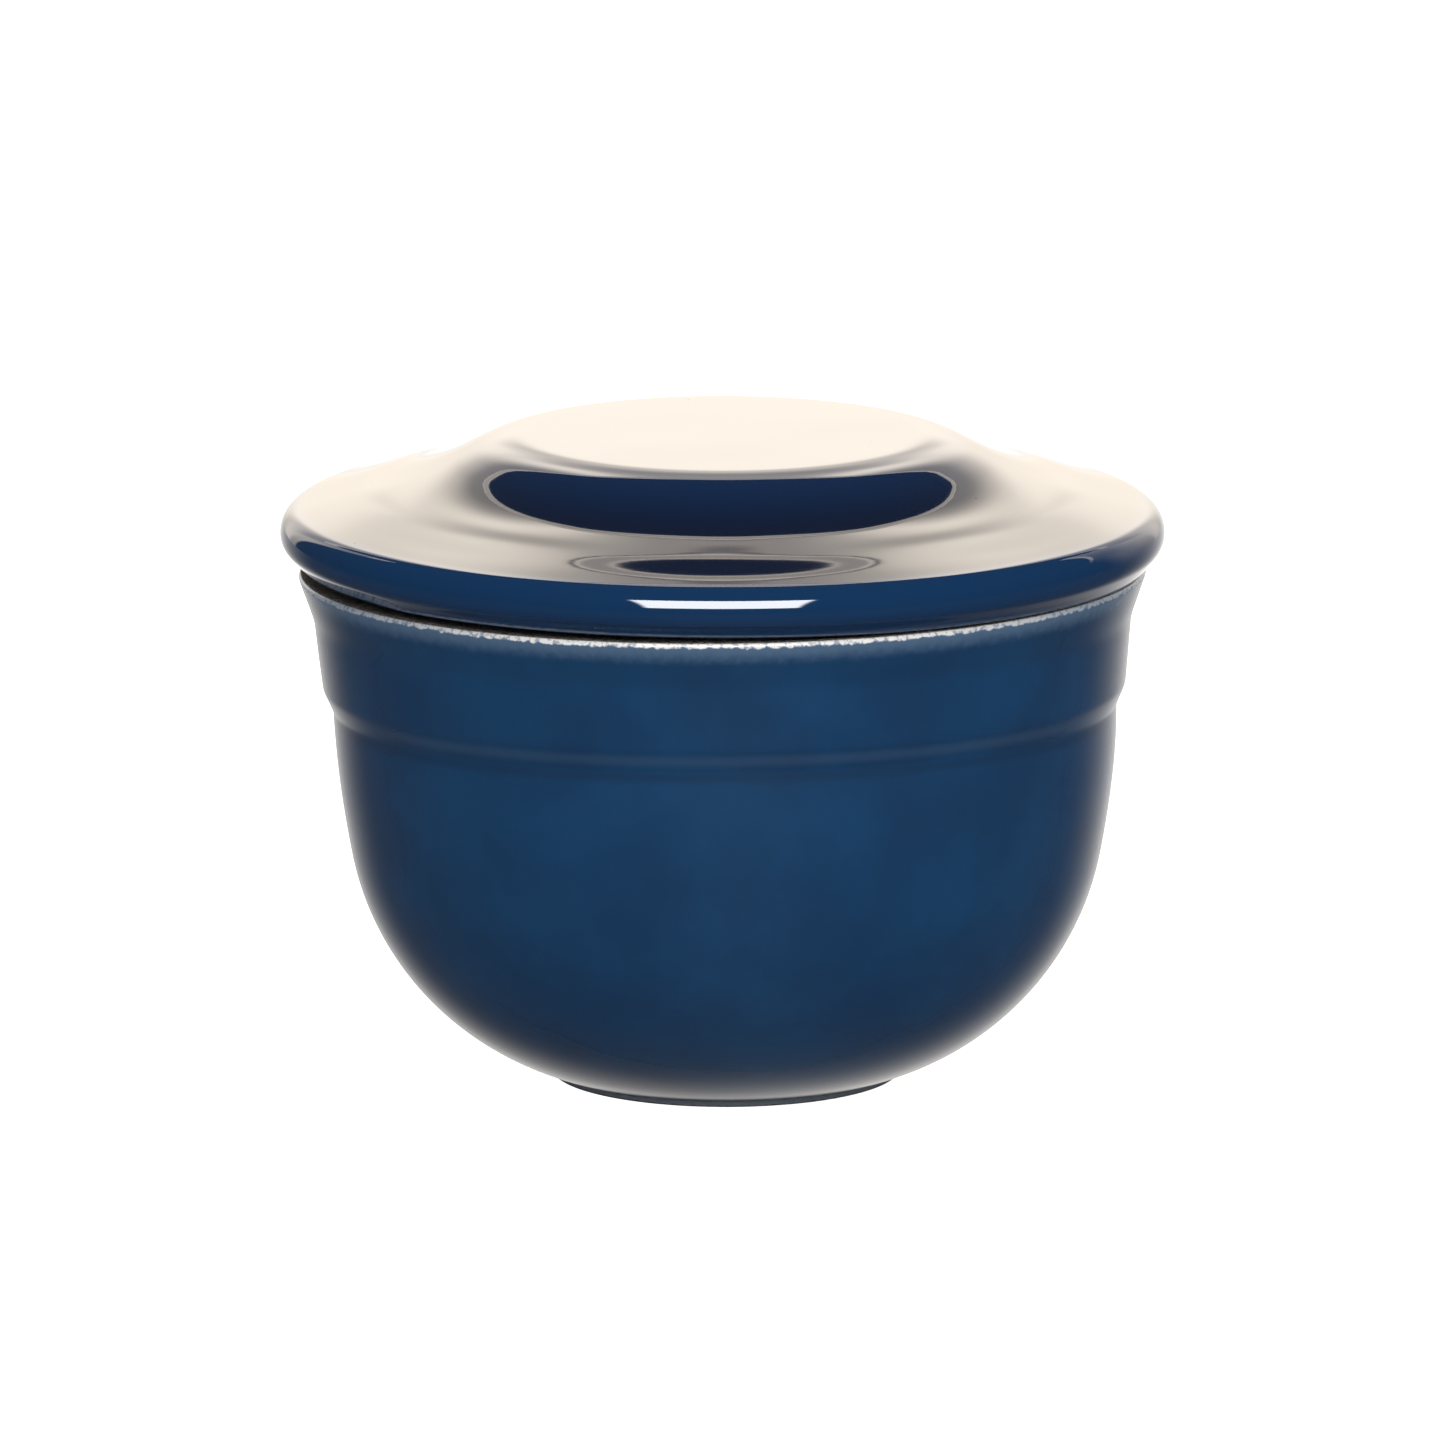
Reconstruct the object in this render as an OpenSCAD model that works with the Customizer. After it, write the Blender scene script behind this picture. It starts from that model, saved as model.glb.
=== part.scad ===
// Lidded stoneware bowl: a round bowl on a short foot ring, closed by a loose lid with a sloping brim
// and a broad, flat-topped centre. Both parts are turned shapes about the Z axis.
// Millimetres. Origin: centre of the foot, on the plane that the bowl stands on.

/* [Bowl] */
// Height of the rim above the table
bowl_h = 81.7; // [81:0.1:82.4]
// Radius where the belly meets the collar band
belly_r = 62.1; // [61:0.1:62.5]
// Height where the belly meets the collar band
belly_h = 58.6; // [58.2:0.1:59]
// Lean of the wall there, in degrees from upright
belly_lean = 2; // [1.8:0.1:2.6]
// Radius of the long arc of the side
side_arc_r = 146; // [140:1:148]
// Radius of the tighter arc that rounds into the base
base_arc_r = 45.4; // [44:0.1:46]
// Slope where the two arcs meet, in degrees below level
arc_join = 11; // [10:0.5:11]
// Thickness of the bowl's wall
wall_t = 5.5; // [4.5:0.5:6.5]
// Thickness of the floor, above the recess inside the foot
floor_t = 5.5; // [5:0.5:7]

/* [Foot ring] */
// Outside diameter of the foot ring
foot_d = 55.6; // [54:0.2:57]
// Width of the ring that touches the table
foot_ring_w = 4.5; // [3:0.5:6]
// Depth of the recess inside the ring
foot_recess = 1.5; // [1:0.1:2]

/* [Collar and rim] */
// Height where the collar band starts to stand proud
collar_h = 60.7; // [60.5:0.1:61]
// Radius at the collar's lower edge
collar_r = 63.65; // [63.4:0.05:64]
// Height of the collar's lower edge
collar_edge_h = 64.1; // [63.8:0.1:65]
// Radius at the top of the collar, where the rim flares out
flare_r = 64.75; // [64.5:0.05:65]
// Height where the rim flares out
flare_h = 74.2; // [73:0.1:75]
// Outside radius of the rim
rim_r = 67.4; // [67:0.1:67.8]
// Inside radius of the rim
rim_inner_r = 60.2; // [59.8:0.1:60.6]

/* [Lid] */
// Outside diameter of the lid, the widest part of the object
lid_d = 140; // [139:0.5:143]
// Height of the whole object with the lid on
top_h = 103.05; // [102.2:0.05:104.4]
// Height of the lid's widest point
nose_h = 87.7; // [87.2:0.1:88.2]
// Half-width of the ellipse that rounds the edge above the widest point
nose_reach = 4.2; // [3.8:0.1:5]
// Half-height of that ellipse
nose_rise = 4.15; // [3.75:0.05:4.5]
// Radius of the rounding below the widest point
nose_under_r = 4; // [3.5:0.1:4.2]
// Slope of the underside of the brim's edge, in degrees from upright
nose_under_lean = 38; // [36:1:40]
// Slope of the brim's top, in degrees
brim_slope = 15; // [14.5:0.1:15.5]
// Radius at which the flat top and the flank would meet
plateau_r = 35.6; // [35:0.1:36.2]
// Slope of the flank, in degrees
flank_slope = 27.6; // [26.8:0.1:28.4]
// Rounding between the flat top and the flank
shoulder_fillet = 1.6; // [0.8:0.2:6]
// Rounding between the flank and the brim
flank_fillet = 50; // [30:1:55]
// Thickness of the lid's shell
lid_t = 6; // [5:0.5:6.5]

/* [Lid seat and flange] */
// Gap between the lid's seat and the rim
seat_gap = 0.05; // [0.05:0.05:0.2]
// Outside radius of the seat, where the lid clears the rim
seat_r = 63.5; // [62.5:0.5:64.5]
// Height of the gap outside the seat
shadow_gap = 0.65; // [0.4:0.05:0.9]
// Outside radius of the flange that drops inside the rim
flange_r = 57.4; // [56.8:0.1:57.6]
// Depth of the flange below the seat
flange_depth = 9.5; // [8:0.5:11]
// Thickness of the flange
flange_t = 5; // [4:0.5:5.5]

/* [Hidden] */
$fn = 180;

// Largest gap allowed between an arc and the chords that draw it
chord_error = 0.0025;
edge_round = 0.8;
foot_edge_round = 0.4;
floor_round = 8;
floor_blend = 1.5;
inner_wall_round = 30;
rim_inner_round = 2.2;
collar_step_round = 2.4;
collar_edge_round = 4;
flare_round = 9;
flange_root_round = 1.5;
lid_inner_round = 8;
brim_inner_round = 3;
// Degrees left out at the top of the inner side arc, where the wall bends towards the rim
inner_arc_trim = 1;

foot_r = foot_d / 2;
lid_r = lid_d / 2;
seat_h = bowl_h + seat_gap;

// Centres of the two tangent arcs of the belly, side arc first
side_c = [belly_r - side_arc_r * cos(belly_lean), belly_h + side_arc_r * sin(belly_lean)];
base_c = side_c + (side_arc_r - base_arc_r) * [cos(arc_join), -sin(arc_join)];

// Points on the arc about c of radii r (across and up), from angle a to angle b
function arc(c, r, a, b) =
    let (steps = ceil(abs(b - a) / (2 * acos(1 - chord_error / max(r)))))
    [for (i = [0:steps]) let (t = a + (b - a) * i / steps) c + [r.x * cos(t), r.y * sin(t)]];

// Angle at which a circle of radius r about c reaches the height h
function angle_at_height(c, r, h) = asin((h - c.y) / r);

function unit(v) = v / norm(v);

// Points of the arc of radius r that rounds the corner p between the points before and after it
function round_corner(before, p, after, r) =
    let (
        u = unit(before - p),
        v = unit(after - p),
        half = acos(u * v) / 2,
        c = p + unit(u + v) * r / sin(half),
        first = p + u * r / tan(half) - c,
        last = p + v * r / tan(half) - c,
        a = atan2(first.y, first.x),
        turn = atan2(first.x * last.y - first.y * last.x, first * last)
    )
    arc(c, [r, r], a, a + turn);

// An outline from corners [radius, height, rounding]; a rounding of 0 leaves the point sharp
function outline(corners) =
    [for (i = [0:len(corners) - 1])
        let (p = corners[i], point = [p.x, p.y])
        each (p.z == 0
            ? [point]
            : let (q = corners[i - 1], n = corners[i + 1])
              round_corner([q.x, q.y], point, [n.x, n.y], p.z))];

// Points become corners with no rounding
function plain(points) = [for (p = points) [p.x, p.y, 0]];

// Centre of the ellipse that rounds the lid's edge, and the point where the brim runs smoothly into it
nose_c = [lid_r - nose_reach, nose_h];
nose_start = atan2(nose_rise, nose_reach * tan(brim_slope));
brim_end = nose_c + [nose_reach * cos(nose_start), nose_rise * sin(nose_start)];

// Height of the lid's top surface on the brim, and of the flank, at radius r
function brim_z(r) = brim_end.y + (brim_end.x - r) * tan(brim_slope);
function flank_z(r) = top_h - (r - plateau_r) * tan(flank_slope);

// Radius at which the flank meets the brim
flank_foot_r = (flank_z(0) - brim_z(0)) / (tan(flank_slope) - tan(brim_slope));

// Bowl, from the foot upwards on the outside and down again on the inside
module bowl_outline() {
    foot_angle = -acos((foot_r - base_c.x) / base_arc_r);
    inner_base_r = base_arc_r - wall_t;
    inner_side_r = side_arc_r - wall_t;
    inner_top = side_c + inner_side_r * [cos(belly_lean), -sin(belly_lean)];
    floor_h = foot_recess + floor_t;
    floor_r = base_c.x + inner_base_r * cos(angle_at_height(base_c, inner_base_r, floor_h));
    floor_angle = angle_at_height(base_c, inner_base_r, floor_h + floor_blend);

    polygon(outline(concat(
        [
            [0, foot_recess, 0],
            [foot_r - foot_ring_w, foot_recess, foot_edge_round],
            [foot_r - foot_ring_w, 0, foot_edge_round],
            [foot_r, 0, foot_edge_round]
        ],
        plain(arc(base_c, [base_arc_r, base_arc_r], foot_angle, -arc_join)),
        plain(arc(side_c, [side_arc_r, side_arc_r], -arc_join, -belly_lean)),
        [
            [belly_r + (collar_h - belly_h) * tan(belly_lean), collar_h, collar_step_round],
            [collar_r, collar_edge_h, collar_edge_round],
            [flare_r, flare_h, flare_round],
            [rim_r, bowl_h, edge_round],
            [rim_inner_r, bowl_h, rim_inner_round],
            [inner_top.x, inner_top.y, inner_wall_round]
        ],
        plain(arc(side_c, [inner_side_r, inner_side_r], -belly_lean - inner_arc_trim, -arc_join)),
        plain(arc(base_c, [inner_base_r, inner_base_r], -arc_join, floor_angle)),
        [
            [floor_r, floor_h, floor_round],
            [0, floor_h, 0]
        ]
    )));
}

// Lid, from the top centre outwards over the brim, then inwards along the underside
module lid_outline() {
    under_c = [lid_r - nose_under_r, nose_h];
    under_end = under_c + nose_under_r * [cos(nose_under_lean), -sin(nose_under_lean)];
    lip_h = seat_h + shadow_gap;
    lip_r = under_end.x - (under_end.y - lip_h) * tan(nose_under_lean);
    seat_edge_r = seat_r + shadow_gap / 2;
    flange_end_h = seat_h - flange_depth;
    flange_inner_r = flange_r - flange_t;

    polygon(outline(concat(
        [
            [0, top_h, 0],
            [plateau_r, top_h, shoulder_fillet],
            [flank_foot_r, flank_z(flank_foot_r), flank_fillet]
        ],
        plain(arc(nose_c, [nose_reach, nose_rise], nose_start, 0)),
        plain(arc(under_c, [nose_under_r, nose_under_r], 0, -nose_under_lean)),
        [
            [lip_r, lip_h, edge_round],
            [seat_edge_r, lip_h, 0],
            [seat_r, seat_h, 0],
            [flange_r, seat_h, flange_root_round],
            [flange_r, flange_end_h, edge_round],
            [flange_inner_r, flange_end_h, edge_round],
            [flange_inner_r, brim_z(flange_inner_r) - lid_t, brim_inner_round],
            [plateau_r - lid_t * tan(flank_slope / 2), top_h - lid_t, lid_inner_round],
            [0, top_h - lid_t, 0]
        ]
    )));
}

module bowl() {
    color([0.06, 0.17, 0.33])
        rotate_extrude()
            bowl_outline();
}

module lid() {
    color([0.05, 0.12, 0.26])
        rotate_extrude()
            lid_outline();
}

bowl();
lid();
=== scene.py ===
"""A lidded bowl of blue glazed stoneware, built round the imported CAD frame.

The two CAD solids give the outlines. Each outline is turned into a finer mesh with the small
irregularities of pottery, and gets a procedural glaze with bare clay where the kiln shelf and the
lid's seat leave it unglazed.
"""

import math

import bpy
import numpy as np
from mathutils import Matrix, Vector, noise


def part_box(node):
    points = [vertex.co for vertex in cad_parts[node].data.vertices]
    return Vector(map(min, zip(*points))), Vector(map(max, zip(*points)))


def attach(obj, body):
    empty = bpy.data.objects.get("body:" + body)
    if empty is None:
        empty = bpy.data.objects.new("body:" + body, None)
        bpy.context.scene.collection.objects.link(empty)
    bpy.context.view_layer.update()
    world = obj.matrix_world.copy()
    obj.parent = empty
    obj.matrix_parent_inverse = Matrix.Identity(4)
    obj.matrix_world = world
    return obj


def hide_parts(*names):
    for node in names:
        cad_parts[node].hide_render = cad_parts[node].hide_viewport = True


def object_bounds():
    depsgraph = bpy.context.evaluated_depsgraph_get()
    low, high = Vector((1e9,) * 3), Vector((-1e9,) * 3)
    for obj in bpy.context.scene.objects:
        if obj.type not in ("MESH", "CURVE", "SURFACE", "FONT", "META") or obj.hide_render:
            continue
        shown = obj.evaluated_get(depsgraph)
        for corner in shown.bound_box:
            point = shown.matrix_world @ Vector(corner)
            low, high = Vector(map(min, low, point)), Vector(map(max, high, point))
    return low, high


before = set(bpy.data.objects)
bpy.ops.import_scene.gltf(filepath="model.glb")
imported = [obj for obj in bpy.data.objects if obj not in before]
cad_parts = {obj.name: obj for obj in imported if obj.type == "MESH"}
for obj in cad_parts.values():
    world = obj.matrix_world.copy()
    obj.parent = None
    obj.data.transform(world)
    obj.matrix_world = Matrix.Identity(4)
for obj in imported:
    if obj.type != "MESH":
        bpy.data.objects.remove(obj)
cad_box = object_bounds()

MM = 0.001

# Resolution of the turned meshes
SEGMENTS = 288
LONGEST_STEP = 1.0 * MM
# Vertices nearer than this to the plane y = 0 are on the section's outline
ON_SEAM = 1e-7

# Height of the bowl's rim, read from the frame
RIM_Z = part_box("bowl")[1].z
# Top of the narrow gap between the rim and the lid's edge
JOINT_GAP_Z = RIM_Z + 0.7 * MM


# ---------------------------------------------------------------- outlines and turned meshes


def cad_outline(node):
    """Half section of a turned CAD node, as an ordered list of (radius, height)."""
    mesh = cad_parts[node].data
    seam = {}
    for v in mesh.vertices:
        if abs(v.co.y) < ON_SEAM and v.co.x > 0:
            seam[v.index] = (round(v.co.x, 7), round(v.co.z, 7))
    links = {}
    for edge in mesh.edges:
        a, b = edge.vertices
        if a in seam and b in seam and seam[a] != seam[b]:
            links.setdefault(seam[a], set()).add(seam[b])
            links.setdefault(seam[b], set()).add(seam[a])
    ends = sorted((p for p in links if len(links[p]) == 1), key=lambda p: p[1])
    walk = [ends[0]]
    while True:
        ahead = [p for p in links[walk[-1]] if p not in walk[-2:]]
        if not ahead:
            return walk
        walk.append(ahead[0])


def refine(points):
    """Adds points so that no step is longer than LONGEST_STEP, down to the axis at both ends."""
    whole = [(0.0, points[0][1])] + points + [(0.0, points[-1][1])]
    fine = [whole[0]]
    for (r0, z0), (r1, z1) in zip(whole, whole[1:]):
        steps = max(1, math.ceil(math.hypot(r1 - r0, z1 - z0) / LONGEST_STEP))
        for i in range(1, steps + 1):
            t = i / steps
            fine.append((r0 + (r1 - r0) * t, z0 + (z1 - z0) * t))
    return np.array(fine)


def outward(points):
    """Unit normals of an outline that runs anticlockwise round the solid's section."""
    along = np.gradient(points, axis=0)
    normal = np.stack([along[:, 1], -along[:, 0]], axis=1)
    return normal / np.maximum(np.linalg.norm(normal, axis=1, keepdims=True), 1e-12)


def turned_mesh(name, points, shape):
    """Turns an outline about Z. shape(radius, height, normals, angle) returns the moved ring points."""
    normals = outward(points)
    angles = np.arange(SEGMENTS) * 2 * math.pi / SEGMENTS
    inner = points[1:-1]
    rings = np.zeros((len(inner), SEGMENTS, 3))
    for s, angle in enumerate(angles):
        moved = shape(inner, normals[1:-1], angle)
        rings[:, s, 0] = moved[:, 0] * math.cos(angle)
        rings[:, s, 1] = moved[:, 0] * math.sin(angle)
        rings[:, s, 2] = moved[:, 1]
    vertices = list(map(tuple, rings.reshape(-1, 3)))
    count = len(inner)
    first = len(vertices)
    vertices.append((0.0, 0.0, rings[0, :, 2].mean()))
    vertices.append((0.0, 0.0, rings[-1, :, 2].mean()))
    faces = []
    for s in range(SEGMENTS):
        t = (s + 1) % SEGMENTS
        faces.append((first, t, s))
        base = (count - 1) * SEGMENTS
        faces.append((first + 1, base + s, base + t))
        for i in range(count - 1):
            a, b = i * SEGMENTS, (i + 1) * SEGMENTS
            faces.append((a + s, a + t, b + t, b + s))
    mesh = bpy.data.meshes.new(name)
    mesh.from_pydata(vertices, [], faces)
    mesh.validate()
    mesh.shade_smooth()
    obj = bpy.data.objects.new(name, mesh)
    bpy.context.scene.collection.objects.link(obj)
    return obj


def smooth(value, low, high):
    """0 below low, 1 above high and an S-curve between."""
    t = np.clip((value - low) / (high - low), 0, 1)
    return t * t * (3 - 2 * t)


# Upward part of the normal above which a point belongs to the top surface
FACES_UP = 0.3


def soften(points, radius, reach):
    """Rounds the top surface off round one radius, by averaging its height over the reach."""
    top = np.flatnonzero(outward(points)[:, 1] > FACES_UP)
    top = top[np.argsort(points[top, 0])]
    r, z = points[top].T
    around = [np.interp(np.abs(r + offset), r, z) for offset in np.linspace(-reach, reach, 25)]
    share = 1 - smooth(np.abs(r - radius), reach, 2 * reach)
    softer = points.copy()
    softer[top, 1] += share * (np.mean(around, axis=0) - z)
    return softer


def ripple(points, angle, size, seed):
    """Smooth noise from -1 to 1 over the turned surface, for bumps of about the given size."""
    x, y = math.cos(angle), math.sin(angle)
    return np.array([noise.noise(Vector((r * x, r * y, z)) / size + Vector((seed, 0, 0)))
                     for r, z in points])


# Depth and size of the wall's long waves and of its small dimples
WALL_WAVE = 0.12 * MM
WALL_WAVE_SIZE = 42 * MM
WALL_DIMPLE = 0.012 * MM
WALL_DIMPLE_SIZE = 13 * MM
# The rim of the bowl tilts down towards -X, and the tilt fades in from the height BAND_Z upwards.
# Towards +X, where it rises, it also fades in between two radii. Known fault: on that side the rim
# stands up to 0.33 mm inside the underside of the closed lid, where it is out of sight
RIM_TILT = 0.0082
BAND_Z = RIM_Z - 18 * MM
RISE_INNER = 61.5 * MM
RISE_OUTER = 64.5 * MM
# The groove under the collar is lower on the -X side too, and sags at both sides
GROOVE_TILT = 0.0095
GROOVE_SAG = 1.0 * MM
# The belly stands this far off the rim's axis
BELLY_SHIFT = 0.55 * MM


def bowl_shape(points, normals, angle):
    """Uneven wall, a groove that wanders and a rim that isn't quite level."""
    radii, heights = points[:, 0], points[:, 1]
    off_foot = smooth(heights, 1 * MM, 6 * MM)
    off_seat = 1 - smooth(heights, RIM_Z - 3 * MM, RIM_Z - 1 * MM)
    waves = WALL_WAVE * ripple(points, angle, WALL_WAVE_SIZE, 1.7)
    bumps = waves + WALL_DIMPLE * ripple(points, angle, WALL_DIMPLE_SIZE, 4.1)
    moved = points + normals * (bumps * off_foot * off_seat)[:, None]
    aside = math.cos(angle)
    tilt = RIM_TILT * radii * aside * smooth(heights, BAND_Z, RIM_Z)
    if aside > 0:
        tilt *= smooth(radii, RISE_INNER, RISE_OUTER)
    near_groove = smooth(heights, 40 * MM, 59 * MM) * (1 - smooth(heights, 64 * MM, 78 * MM))
    moved[:, 1] += tilt + near_groove * (GROOVE_TILT * radii * aside - GROOVE_SAG * aside * aside)
    shifted = (1 - smooth(heights, 50 * MM, 78 * MM)) * np.minimum(radii / (20 * MM), 1)
    moved[:, 0] += BELLY_SHIFT * aside * shifted
    return moved


# Depth and size of the lid's long waves and of its small dimples
LID_WAVE = 0.030 * MM
LID_WAVE_SIZE = 24 * MM
LID_DIMPLE = 0.003 * MM
LID_DIMPLE_SIZE = 8 * MM
# The lid's shoulder is softened round this radius
SHOULDER_R = 35.6 * MM
SHOULDER_REACH = 4 * MM
# The lid's top leans towards -Y, about a line this far to the back of the middle
LID_LEAN = math.tan(math.radians(1.0))
LEAN_AXIS = 9 * MM
# Height of a faint ring in the brim
RING = 0.165 * MM
# The lip under the lid's edge sags towards +X and rises at -X, and that fades out over LIP_FADE
LIP_SAG = 0.2 * MM
LIP_RISE = 0.3 * MM
LIP_FADE = 5 * MM


def lid_shape(points, normals, angle):
    """Nearly even glaze on the top, and a lip that isn't quite level."""
    radii, heights = points[:, 0], points[:, 1]
    upper = smooth(heights, JOINT_GAP_Z, JOINT_GAP_Z + LIP_FADE)
    waves = LID_WAVE * ripple(points, angle, LID_WAVE_SIZE, 9.3)
    bumps = waves + LID_DIMPLE * ripple(points, angle, LID_DIMPLE_SIZE, 2.9)
    moved = points + normals * (bumps * upper)[:, None]
    ahead = 1 - smooth(abs(math.cos(angle)), 0.1, 0.55)
    ring = ahead * smooth(radii, 46 * MM, 53 * MM) - smooth(radii, 56.5 * MM, 64.5 * MM)
    ring += (1 - ahead) * smooth(radii, 53 * MM, 57 * MM)
    moved[:, 1] += upper * (RING * ring + LID_LEAN * (radii * math.sin(angle) - LEAN_AXIS))
    lip = smooth(radii, 63.5 * MM, 65.5 * MM) * (1 - upper)
    aside = math.cos(angle)
    moved[:, 1] += lip * (LIP_RISE * smooth(-aside, 0.72, 0.84) - LIP_SAG * smooth(aside, 0.0, 0.5))
    return moved


# ---------------------------------------------------------------- node graphs


class Graph:
    """Short names for building a node tree."""

    def __init__(self, tree):
        self.tree = tree
        tree.nodes.clear()

    def node(self, kind, inputs=None, **settings):
        made = self.tree.nodes.new(kind)
        for key, value in settings.items():
            setattr(made, key, value)
        for key, value in (inputs or {}).items():
            self.feed(made.inputs[key], value)
        return made

    def feed(self, socket, value):
        if isinstance(value, bpy.types.NodeSocket):
            self.tree.links.new(value, socket)
        else:
            socket.default_value = value

    def math(self, operation, a, b=0.0):
        return self.node("ShaderNodeMath", {0: a, 1: b}, operation=operation).outputs[0]

    def ramp(self, value, low, high, start=0.0, end=1.0):
        inputs = {"Value": value, "From Min": low, "From Max": high, "To Min": start, "To Max": end}
        made = self.node("ShaderNodeMapRange", inputs, interpolation_type="SMOOTHSTEP")
        return made.outputs["Result"]

    def band(self, value, low, high, soft):
        """1 between low and high, fading to 0 over soft on each side."""
        rise = self.ramp(value, low - soft, low + soft)
        fall = self.ramp(value, high - soft, high + soft, 1.0, 0.0)
        return self.math("MULTIPLY", rise, fall)

    def mix(self, factor, a, b):
        made = self.node("ShaderNodeMix", data_type="RGBA")
        self.feed(made.inputs[0], factor)
        self.feed(made.inputs[6], a)
        self.feed(made.inputs[7], b)
        return made.outputs[2]

    def noise(self, vector, size, detail=2.0):
        """Noise from 0 to 1 with features of about the given size."""
        made = self.node("ShaderNodeTexNoise", {"Vector": vector, "Scale": 1 / size, "Detail": detail})
        return made.outputs["Fac"]

    def bump(self, height, distance, normal=None):
        inputs = {"Height": height, "Distance": distance}
        if normal is not None:
            inputs["Normal"] = normal
        return self.node("ShaderNodeBump", inputs).outputs["Normal"]

    def place(self):
        """Object coordinates, as (vector, radius from the axis, height, x)."""
        vector = self.node("ShaderNodeTexCoord").outputs["Object"]
        split = self.node("ShaderNodeSeparateXYZ", {0: vector})
        x, y, z = split.outputs
        squares = self.math("ADD", self.math("MULTIPLY", x, x), self.math("MULTIPLY", y, y))
        return vector, self.math("SQRT", squares), z, x


def surface(name):
    """A new material with its graph and its output node."""
    material = bpy.data.materials.new(name)
    material.use_nodes = True
    graph = Graph(material.node_tree)
    return material, graph, graph.node("ShaderNodeOutputMaterial")


# ---------------------------------------------------------------- materials

BOWL_BLUE = (0.0030, 0.033, 0.091, 1)
BOWL_BLUE_DEEP = (0.0030, 0.026, 0.074, 1)
# Painted shade in the groove under the collar
GROOVE_SHADE_BLUE = (0.0030, 0.021, 0.058, 1)
LID_EDGE_BLUE = (0.0035, 0.021, 0.062, 1)
LID_SHOULDER_BLUE = (0.0035, 0.014, 0.044, 1)
LID_DEEP = (0.0020, 0.0058, 0.019, 1)
# Thin pale glaze round the rim, also the colour of the painted highlights on the collar's lower edge
# and on the lid's lip
THIN_GLAZE_AND_HIGHLIGHT = (0.07, 0.12, 0.19, 1)
# The rim's worn pale edge, partly a painted highlight
PALE_EDGE = (0.62, 0.61, 0.60, 1)
FOOT_GREY = (0.10, 0.115, 0.135, 1)
# Bare clay colours, kept very dark as painted shade on the rim's seat under the lid
SHADED_BARE_CLAY = (0.10, 0.09, 0.08, 1)
SHADED_DARK_CLAY = (0.012, 0.011, 0.010, 1)
CLAY_GRAIN = 0.45 * MM
CLAY_RELIEF = 0.12 * MM
CLAY_ROUGHNESS = (0.8, 0.8, 0.8, 1)
BOWL_ROUGHNESS = (0.22, 0.22, 0.22, 1)
LID_ROUGHNESS = (0.035, 0.035, 0.035, 1)
GLAZE_IOR = 1.5
# Size of the cloudy patches in the bowl's glaze, and size and relief of its skin
CLOUD_SIZE = 16 * MM
SKIN_SIZE = 3.0 * MM
SKIN_RELIEF = 0.002 * MM
# The lower edges of the rim's pale band and of its thin glaze wander up and down by this much
RAGGED = 1.2 * MM
# Radii between which the lid's seat is bare clay
SEAT_INNER = 58.6 * MM
SEAT_OUTER = 64.2 * MM
# Spacing of the pinholes in the lid's glaze, and their size as a share of it
PIT_SPACING = 9 * MM
PIT_SMALL = 0.012
PIT_LARGE = 0.028


def shaded_clay_colour(graph, vector):
    """Sandy, speckled bare stoneware, made very dark as painted shade where the lid shades the rim's
    seat.
    """
    grain = graph.noise(vector, CLAY_GRAIN, 3.0)
    return graph.mix(graph.ramp(grain, 0.35, 0.65), SHADED_DARK_CLAY, SHADED_BARE_CLAY), grain


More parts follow.
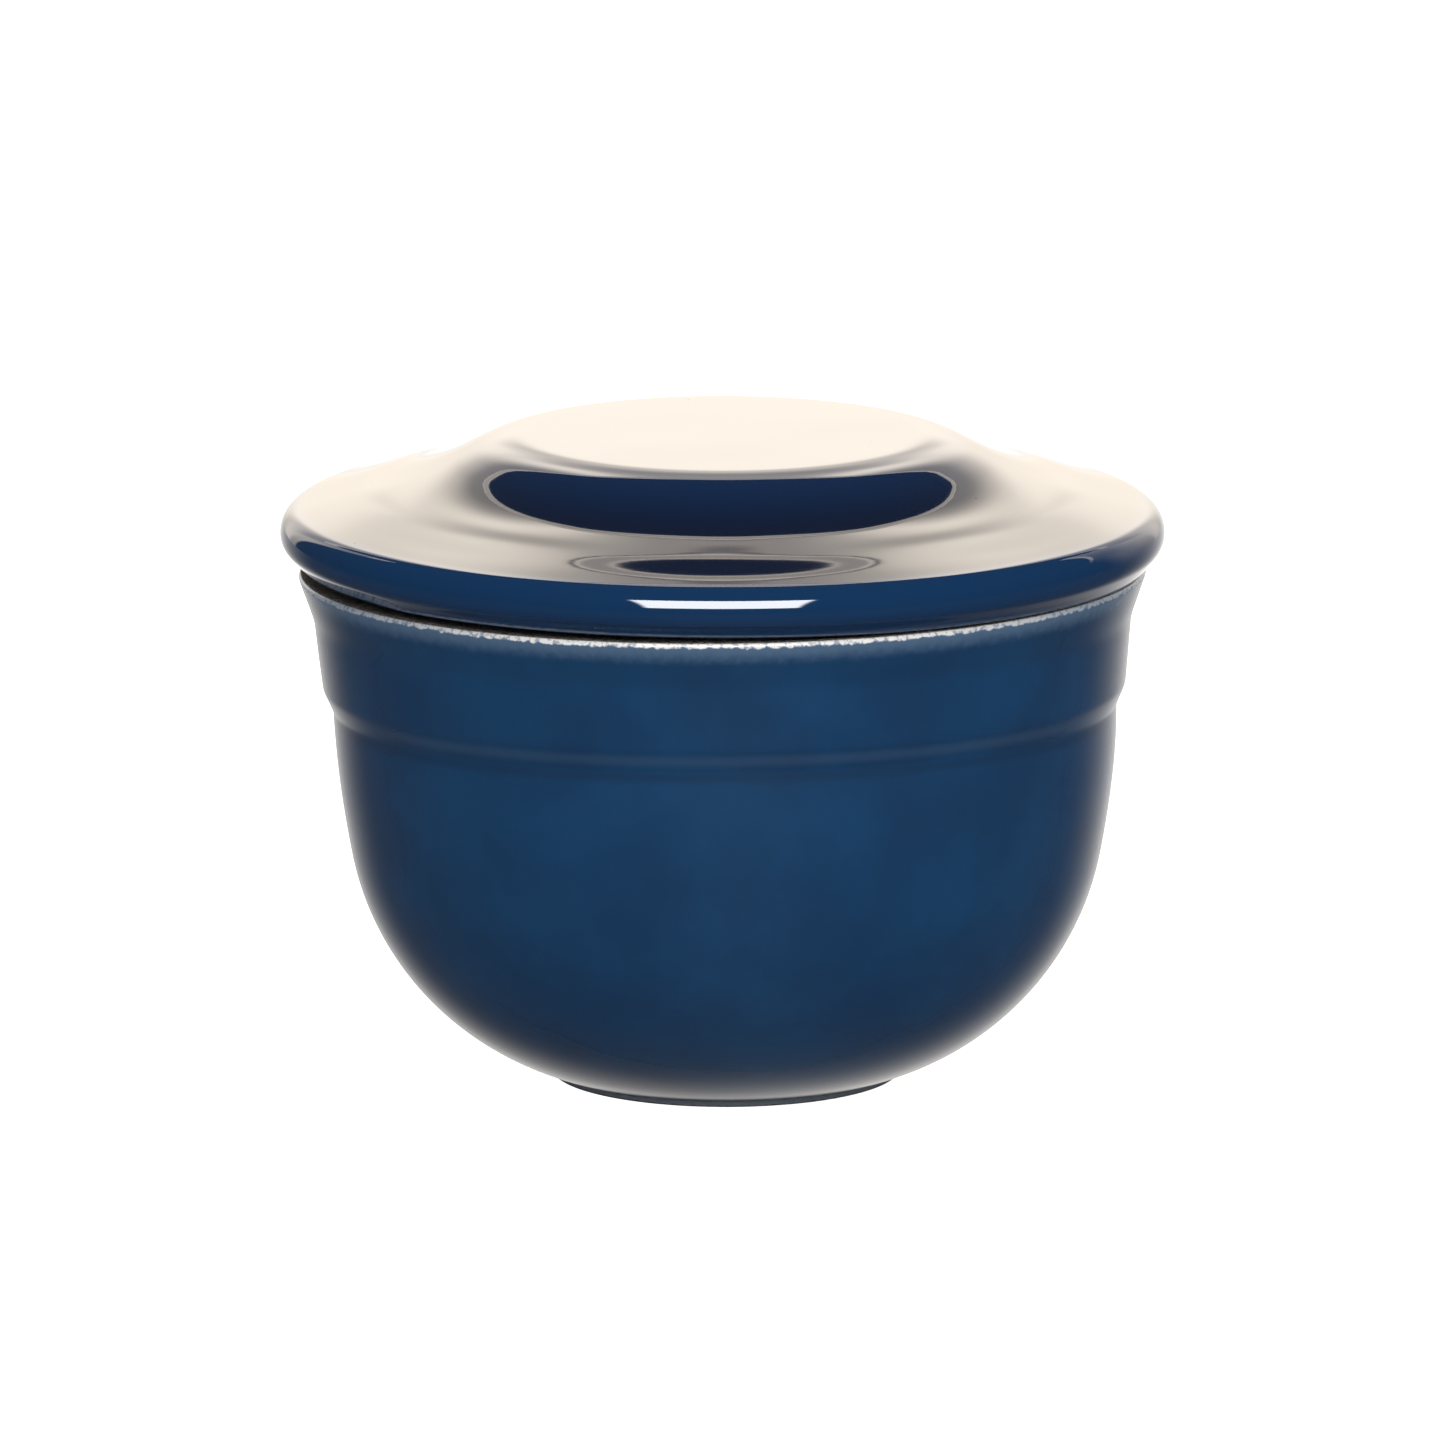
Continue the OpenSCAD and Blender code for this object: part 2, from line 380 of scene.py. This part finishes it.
def bowl_glaze():
    """Satin blue glaze, bare clay on the seat and under the foot, thin pale glaze round the rim, and
    painted shade and painted highlights.
    """
    material, graph, output = surface("bowl_glaze")
    vector, radius, height, x = graph.place()
    clay, grain = shaded_clay_colour(graph, vector)
    edge_noise = graph.math("SUBTRACT", graph.noise(vector, 1.4 * MM, 3.0), 0.5)
    level = graph.math("SUBTRACT", height, graph.math("MULTIPLY", x, RIM_TILT))
    ragged = graph.math("ADD", level, graph.math("MULTIPLY", edge_noise, RAGGED))
    # Bare clay on the seat in painted shade, then a worn, speckled pale edge and painted highlight
    top_clay = graph.math("MULTIPLY", graph.ramp(level, RIM_Z - 0.25 * MM, RIM_Z - 0.1 * MM),
                          graph.ramp(radius, 60.3 * MM, 60.9 * MM))
    specks = graph.ramp(graph.noise(vector, 0.7 * MM, 2.0), 0.36, 0.52)
    worn_edge_and_highlight = graph.math("MULTIPLY", graph.ramp(ragged, RIM_Z - 0.95 * MM, RIM_Z - 0.65 * MM),
                      graph.ramp(radius, 62 * MM, 64 * MM))
    worn_edge_and_highlight = graph.math("MULTIPLY", worn_edge_and_highlight, graph.math("ADD", graph.math("MULTIPLY", specks, 0.6), 0.4))
    # The pale edge and its painted highlight fade towards the sides, away from the front light
    sideways = graph.math("DIVIDE", x, radius)
    lit_from_front = graph.ramp(graph.math("ABSOLUTE", sideways), 0.4, 0.95, 1.0, 0.3)
    worn_edge_and_highlight = graph.math("MULTIPLY", worn_edge_and_highlight, lit_from_front)
    foot_clay = graph.ramp(height, 0.2 * MM, 0.4 * MM, 1.0, 0.0)
    bare = graph.math("MAXIMUM", top_clay, foot_clay)
    thin_glaze_and_highlight = graph.math("MULTIPLY", graph.ramp(ragged, RIM_Z - 4.0 * MM, RIM_Z - 1.0 * MM), 0.8)

    # Painted shade darkens the groove, and a painted highlight lightens the collar's lower edge
    sag = graph.math("MULTIPLY", graph.math("MULTIPLY", sideways, sideways), GROOVE_SAG)
    wander = graph.math("SUBTRACT", graph.math("MULTIPLY", x, GROOVE_TILT), sag)
    groove_level = graph.math("SUBTRACT", height, wander)
    outside = graph.ramp(radius, 59 * MM, 60 * MM)
    groove_shade = graph.math("MULTIPLY", outside, graph.band(groove_level, 59.0 * MM, 60.4 * MM, 0.8 * MM))
    collar_edge_highlight = graph.math("MULTIPLY", outside, graph.band(groove_level, 61.6 * MM, 63.2 * MM, 0.7 * MM))
    cloud = graph.ramp(graph.noise(vector, CLOUD_SIZE, 4.0), 0.3, 0.7)
    blue = graph.mix(cloud, BOWL_BLUE_DEEP, BOWL_BLUE)
    blue = graph.mix(graph.math("MULTIPLY", groove_shade, 0.7), blue, GROOVE_SHADE_BLUE)
    # The collar's painted highlight joins the rim's thin glaze
    thin_glaze_and_highlight = graph.math("MAXIMUM", thin_glaze_and_highlight, graph.math("MULTIPLY", collar_edge_highlight, 0.14))
    blue = graph.mix(thin_glaze_and_highlight, blue, THIN_GLAZE_AND_HIGHLIGHT)
    blue = graph.mix(worn_edge_and_highlight, blue, PALE_EDGE)
    foot_edge = graph.math("MULTIPLY", graph.ramp(height, 0.9 * MM, 1.8 * MM, 1.0, 0.0), 0.9)
    blue = graph.mix(foot_edge, blue, FOOT_GREY)
    roughness = graph.mix(bare, BOWL_ROUGHNESS, CLAY_ROUGHNESS)
    skin = graph.noise(vector, SKIN_SIZE, 2.0)
    normal = graph.bump(skin, SKIN_RELIEF)
    sand = graph.math("MULTIPLY", grain, graph.math("MAXIMUM", bare, graph.math("MULTIPLY", worn_edge_and_highlight, 0.5)))
    normal = graph.bump(sand, CLAY_RELIEF, normal)
    shader = graph.node("ShaderNodeBsdfPrincipled", {
        "Base Color": graph.mix(bare, blue, clay),
        "Roughness": roughness,
        "Normal": normal,
        "IOR": GLAZE_IOR,
    })
    graph.feed(output.inputs["Surface"], shader.outputs[0])
    return material


def lid_glaze():
    """Mirror-gloss glaze, darker from the shoulder outwards and lighter round the edge, with a painted
    highlight on the lip.
    """
    material, graph, output = surface("lid_glaze")
    vector, radius, height, _ = graph.place()
    clay, grain = shaded_clay_colour(graph, vector)
    seat = graph.band(radius, SEAT_INNER, SEAT_OUTER, 0.3 * MM)
    under = graph.ramp(height, JOINT_GAP_Z - 0.3 * MM, JOINT_GAP_Z, 1.0, 0.0)
    bare = graph.math("MULTIPLY", seat, under)
    low = graph.ramp(radius, 35 * MM, 49 * MM)
    blue = graph.mix(low, LID_SHOULDER_BLUE, LID_DEEP)
    edge = graph.ramp(radius, 65.0 * MM, 67.2 * MM)
    blue = graph.mix(edge, blue, LID_EDGE_BLUE)
    # A painted highlight along the lower edge of the lid's lip
    lip = graph.band(height, JOINT_GAP_Z + 0.25 * MM, JOINT_GAP_Z + 0.5 * MM, 0.2 * MM)
    lip = graph.math("MULTIPLY", lip, graph.ramp(radius, 65 * MM, 66 * MM))
    blue = graph.mix(graph.math("MULTIPLY", lip, 0.35), blue, THIN_GLAZE_AND_HIGHLIGHT)
    cells = graph.node("ShaderNodeTexVoronoi", {"Vector": vector, "Scale": 1 / PIT_SPACING})
    pits = graph.ramp(cells.outputs["Distance"], PIT_SMALL, PIT_LARGE, 1.0, 0.0)
    roughness = graph.mix(bare, LID_ROUGHNESS, CLAY_ROUGHNESS)
    normal = graph.bump(graph.math("MULTIPLY", grain, bare), CLAY_RELIEF)
    shader = graph.node("ShaderNodeBsdfPrincipled", {
        "Base Color": graph.mix(bare, blue, clay),
        "Specular IOR Level": graph.math("MULTIPLY", graph.math("SUBTRACT", 1.0, pits), 0.5),
        "Roughness": roughness,
        "Normal": normal,
        "IOR": GLAZE_IOR,
    })
    graph.feed(output.inputs["Surface"], shader.outputs[0])
    return material


# ---------------------------------------------------------------- stage

CREAM = (1.0, 0.90, 0.77, 1)
WHITE = (1, 1, 1, 1)
TO_DEGREES = 180 / math.pi
# What a reflection sees where there is neither the sheet nor the front light
ROOM_LIGHT = 0.055
# The sheet behind the object, in degrees: its top edge, how far that drops towards the sides, where
# it ends at the left and the right, and the height of its hem. HEM_LIGHT is the hem's brightness,
# and SEAM_LIGHT is what the thin seams below and above it add
SHEET_TOP = 42.2
SHEET_DROP = 10.0
SHEET_DROP_LEFT = 14.0
SHEET_LEFT = 35.0
SHEET_RIGHT = 50.0
HEM = 1.5
HEM_LEFT = 3.5
HEM_LIGHT = 2.0
SEAM_LIGHT = 3.0
# Brightness of the sheet low down and high up
SHEET_LOW_LIGHT = 1.6
SHEET_HIGH_LIGHT = 3.4
# How much brighter the folds are than the sheet
FOLD_LIGHT = 0.55
# The light in front, in degrees: its lower and upper edge and half its width
FRONT_LOW = 24.0
FRONT_HIGH = 57.0
FRONT_WIDTH = 18.5
FRONT_LEVEL = 22.0
# The soft light that falls on the glaze: from every side, from above, and from in front. The front
# part comes from a little to the right and narrows with the power FACING_POWER
DOME_BASE = 0.22
DOME_ABOVE = 1.1
DOME_FRONT = 4.0
FACING_RIGHT = 0.18
FACING_POWER = 2.5


def sheet_level(graph, over, bearing):
    """How bright the sheet is, for directions in degrees above and beside straight back.

    It brightens with height, is dimmer in the middle, at the sides and in a soft dip below its top,
    and has a bright fold on each side and a hem.
    """
    across = graph.math("ABSOLUTE", bearing)
    notch = graph.math("MULTIPLY", graph.ramp(across, 12.0, 26.0),
                       graph.ramp(across, 27.0, 31.0, 1.0, 0.0))
    depth = graph.ramp(bearing, -23.0, -15.0, SHEET_DROP_LEFT, SHEET_DROP)
    drop = graph.math("MULTIPLY", notch, depth)
    over = graph.math("ADD", over, drop)
    rise = graph.ramp(over, -2.0, 22.0, SHEET_LOW_LIGHT, SHEET_HIGH_LIGHT)
    middle = graph.math("MULTIPLY", graph.ramp(over, 11.0, 17.0),
                        graph.ramp(across, 3.0, 10.0, 0.42, 0.0))
    level = graph.math("MULTIPLY", rise, graph.math("SUBTRACT", 1.0, middle))
    aside = graph.ramp(over, 26.0, 38.0, 0.44, 0.66)
    aside = graph.math("MULTIPLY", graph.ramp(across, 11.0, 19.0), aside)
    level = graph.math("MULTIPLY", level, graph.math("SUBTRACT", 1.0, aside))
    dip = graph.math("MULTIPLY", graph.band(over, 25.0, 34.0, 6.0),
                     graph.ramp(across, 3.0, 15.0, 0.38, 0.0))
    level = graph.math("MULTIPLY", level, graph.math("SUBTRACT", 1.0, dip))
    folds = graph.math("MULTIPLY", graph.band(across, 9.0, 13.5, 2.5), graph.ramp(over, 22.0, 36.0))
    folds = graph.math("MULTIPLY", folds, FOLD_LIGHT)
    level = graph.math("MULTIPLY", level, graph.math("ADD", folds, 1.0))
    level = graph.math("MULTIPLY", level, graph.ramp(bearing, 20.0, SHEET_RIGHT, 1.0, 0.35))
    inside = graph.math("MULTIPLY", graph.ramp(bearing, -SHEET_LEFT - 1, -SHEET_LEFT + 1),
                        graph.ramp(bearing, SHEET_RIGHT - 3, SHEET_RIGHT + 12, 1.0, 0.0))
    sheet = graph.math("MULTIPLY", level, graph.band(over, -20.0, SHEET_TOP - 0.15, 0.1))
    seam_low = graph.band(over, SHEET_TOP + 0.1, SHEET_TOP + 0.3, 0.08)
    above = graph.math("SUBTRACT", over, graph.ramp(bearing, -24.0, -16.0, HEM_LEFT, HEM))
    hem = graph.math("MULTIPLY", graph.ramp(over, SHEET_TOP, SHEET_TOP + 0.2),
                     graph.ramp(above, SHEET_TOP - 0.1, SHEET_TOP + 0.1, 1.0, 0.0))
    seam_high = graph.band(above, SHEET_TOP - 0.1, SHEET_TOP + 0.1, 0.08)
    seams = graph.math("MULTIPLY", graph.math("ADD", seam_low, seam_high), SEAM_LIGHT)
    top = graph.math("ADD", graph.math("MULTIPLY", hem, HEM_LIGHT), seams)
    return graph.math("MULTIPLY", inside, graph.math("ADD", sheet, top))


def studio_light():
    """A white studio with its own light for each kind of ray, which no real studio has.

    The camera sees plain white and diffuse light comes from a soft dome. Reflections see a tall
    sheet behind the object, shaped for the view from the front, and one light in front. Directions
    are degrees above the horizon, measured up from behind the object, over the top and down to the
    front, and degrees to the side.
    """
    world = bpy.data.worlds.new("studio")
    bpy.context.scene.world = world
    world.use_nodes = True
    world.cycles.sampling_method = "NONE"
    graph = Graph(world.node_tree)
    direction = graph.node("ShaderNodeTexCoord").outputs["Generated"]
    x, y, z = graph.node("ShaderNodeSeparateXYZ", {0: direction}).outputs
    over = graph.math("MULTIPLY", graph.math("ARCTAN2", z, y), TO_DEGREES)
    side = graph.math("MULTIPLY", graph.math("ARCSINE", x), TO_DEGREES)
    bearing = graph.math("MULTIPLY", graph.math("ARCTAN2", x, y), TO_DEGREES)
    sheet = sheet_level(graph, over, bearing)
    warm = graph.node("ShaderNodeBackground", {"Color": CREAM, "Strength": sheet})
    front = graph.math("MULTIPLY", graph.band(over, 180 - FRONT_HIGH, 180 - FRONT_LOW, 1.0),
                       graph.band(side, -FRONT_WIDTH, FRONT_WIDTH, 1.0))
    total = graph.math("ADD", ROOM_LIGHT, graph.math("MULTIPLY", front, FRONT_LEVEL))
    cool = graph.node("ShaderNodeBackground", {"Color": WHITE, "Strength": total})
    mirrored = graph.node("ShaderNodeAddShader", {0: warm.outputs[0], 1: cool.outputs[0]})

    facing = graph.math("SUBTRACT", graph.math("MULTIPLY", x, FACING_RIGHT), y)
    facing = graph.math("POWER", graph.math("MAXIMUM", facing, 0.0), FACING_POWER)
    dome = graph.math("MULTIPLY", graph.math("MAXIMUM", z, 0.0), DOME_ABOVE)
    dome = graph.math("ADD", dome, DOME_BASE)
    dome = graph.math("ADD", dome, graph.math("MULTIPLY", facing, DOME_FRONT))
    soft = graph.node("ShaderNodeBackground", {"Color": WHITE, "Strength": dome})
    seen = graph.node("ShaderNodeBackground", {"Color": WHITE, "Strength": 1.0})
    path = graph.node("ShaderNodeLightPath")
    chosen = graph.node("ShaderNodeMixShader", {
        0: path.outputs["Is Glossy Ray"], 1: soft.outputs[0], 2: mirrored.outputs[0]})
    chosen = graph.node("ShaderNodeMixShader", {
        0: path.outputs["Is Camera Ray"], 1: chosen.outputs[0], 2: seen.outputs[0]})
    output = graph.node("ShaderNodeOutputWorld")
    graph.feed(output.inputs["Surface"], chosen.outputs[0])


FLOOR_HALF = 6.0
FLOOR_GLOW = 0.97
# Colour of the floor, and how dark it counts as for the light that it throws back on the bowl
FLOOR_PALE = (0.85, 0.85, 0.85, 1)
FLOOR_BOUNCE = (0.35, 0.35, 0.35, 1)
# What the glaze mirrors of the floor never gets darker than this
FLOOR_DARKEST = 0.12
# The brightest part of that reflection is this far to the right, as a sine
FLOOR_ASIDE = 0.05


def floor():
    """A pale floor with a glow that only the camera sees.

    What the glaze mirrors is not what the camera sees: it is brightest near the horizon behind the
    bowl, and darker further down and to the sides.
    """
    half = FLOOR_HALF
    mesh = bpy.data.meshes.new("floor")
    corners = [(-half, -half, 0), (half, -half, 0), (half, half, 0), (-half, half, 0)]
    mesh.from_pydata(corners, [], [(0, 1, 2, 3)])
    plane = bpy.data.objects.new("floor", mesh)
    bpy.context.scene.collection.objects.link(plane)
    plane.location.z = cad_box[0].z
    material, graph, output = surface("floor")
    path = graph.node("ShaderNodeLightPath")
    colour = graph.mix(path.outputs["Is Diffuse Ray"], FLOOR_PALE, FLOOR_BOUNCE)
    pale = graph.node("ShaderNodeBsdfDiffuse", {"Color": colour})
    backlit = graph.node("ShaderNodeEmission", {
        "Color": WHITE, "Strength": graph.math("MULTIPLY", path.outputs["Is Camera Ray"], FLOOR_GLOW)})
    table = graph.node("ShaderNodeAddShader", {0: pale.outputs[0], 1: backlit.outputs[0]})
    x, y, z = graph.node("ShaderNodeSeparateXYZ", {
        0: graph.node("ShaderNodeNewGeometry").outputs["Incoming"]}).outputs
    shifted = graph.math("ABSOLUTE", graph.math("ADD", x, FLOOR_ASIDE))
    side = graph.math("MULTIPLY", graph.math("ARCSINE", shifted), TO_DEGREES)
    down = graph.math("ARCTAN2", z, graph.math("MULTIPLY", y, -1.0))
    down = graph.math("MULTIPLY", down, TO_DEGREES)
    near = graph.ramp(side, 0.0, 64.0, 1.45, 0.15)
    outwards = graph.math("ADD", down, graph.math("MULTIPLY", side, 0.8))
    below = graph.ramp(outwards, 5.0, 78.0, 1.0, FLOOR_DARKEST)
    level = graph.math("MAXIMUM", graph.math("MULTIPLY", near, below), FLOOR_DARKEST)
    glow = graph.node("ShaderNodeEmission", {"Color": (1, 0.97, 0.93, 1), "Strength": level})
    chosen = graph.node("ShaderNodeMixShader", {
        0: path.outputs["Is Glossy Ray"], 1: table.outputs[0], 2: glow.outputs[0]})
    graph.feed(output.inputs["Surface"], chosen.outputs[0])
    mesh.materials.append(material)


CAMERA_ELEVATION = math.radians(11)
CAMERA_DISTANCE = 1.905
CAMERA_LENS = 299.0
AIM_ABOVE_MIDDLE = 4.8 * MM


def camera():
    """A long lens, a little above the lid."""
    aim = (cad_box[0] + cad_box[1]) / 2
    aim.z += AIM_ABOVE_MIDDLE
    back = Vector((0, -math.cos(CAMERA_ELEVATION), math.sin(CAMERA_ELEVATION)))
    data = bpy.data.cameras.new("camera")
    data.lens = CAMERA_LENS
    data.clip_start = 0.1
    made = bpy.data.objects.new("camera", data)
    bpy.context.scene.collection.objects.link(made)
    made.location = aim + back * CAMERA_DISTANCE
    made.rotation_mode = "QUATERNION"
    made.rotation_quaternion = (-back).to_track_quat("-Z", "Y")
    bpy.context.scene.camera = made


# ---------------------------------------------------------------- assembly


def add_piece(name, node, body, shape, material):
    outline = refine(cad_outline(node))
    if node == "lid":
        outline = soften(outline, SHOULDER_R, SHOULDER_REACH)
    piece = turned_mesh(name, outline, shape)
    piece.data.materials.append(material)
    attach(piece, body)
    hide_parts(node)
    return piece


add_piece("bowl_body", "bowl", "bowl", bowl_shape, bowl_glaze())
add_piece("lid_body", "lid", "lid", lid_shape, lid_glaze())
studio_light()
floor()
camera()
bpy.context.scene.view_settings.view_transform = "Standard"
